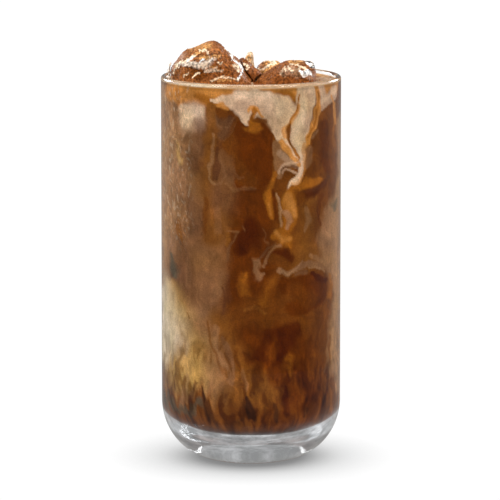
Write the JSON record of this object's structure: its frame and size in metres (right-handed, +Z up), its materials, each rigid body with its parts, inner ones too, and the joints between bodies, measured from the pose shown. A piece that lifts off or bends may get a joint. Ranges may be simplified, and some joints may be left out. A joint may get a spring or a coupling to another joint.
{
  "type": "iced latte in a glass",
  "caption": "Tall clear tumbler with a thick rounded base, full of iced latte, with cocoa-dusted lumps of ice standing out of the top.",
  "frame": {"origin": "middle of the foot, on the surface it stands on", "axes": "+Z up along the tumbler's axis, +Y away from the viewer, +X to the viewer's right"},
  "size_m": [0.072, 0.072, 0.1689],
  "materials": {
    "clear_glass": "clear pressed glass, smooth, with rounded heel and lip",
    "latte": "milky coffee with swirls of milk and espresso, wet",
    "dusted_ice": "clear melting ice dusted with cocoa powder"
  },
  "bodies": {
    "root": {"tumbler": "clear_glass", "latte": "latte", "ice_left": "dusted_ice", "ice_right": "dusted_ice", "ice_middle": "dusted_ice", "ice_shard": "dusted_ice", "ice_back": "dusted_ice", "ice_rear": "dusted_ice", "ice_edge": "dusted_ice"}
  },
  "joints": []
}
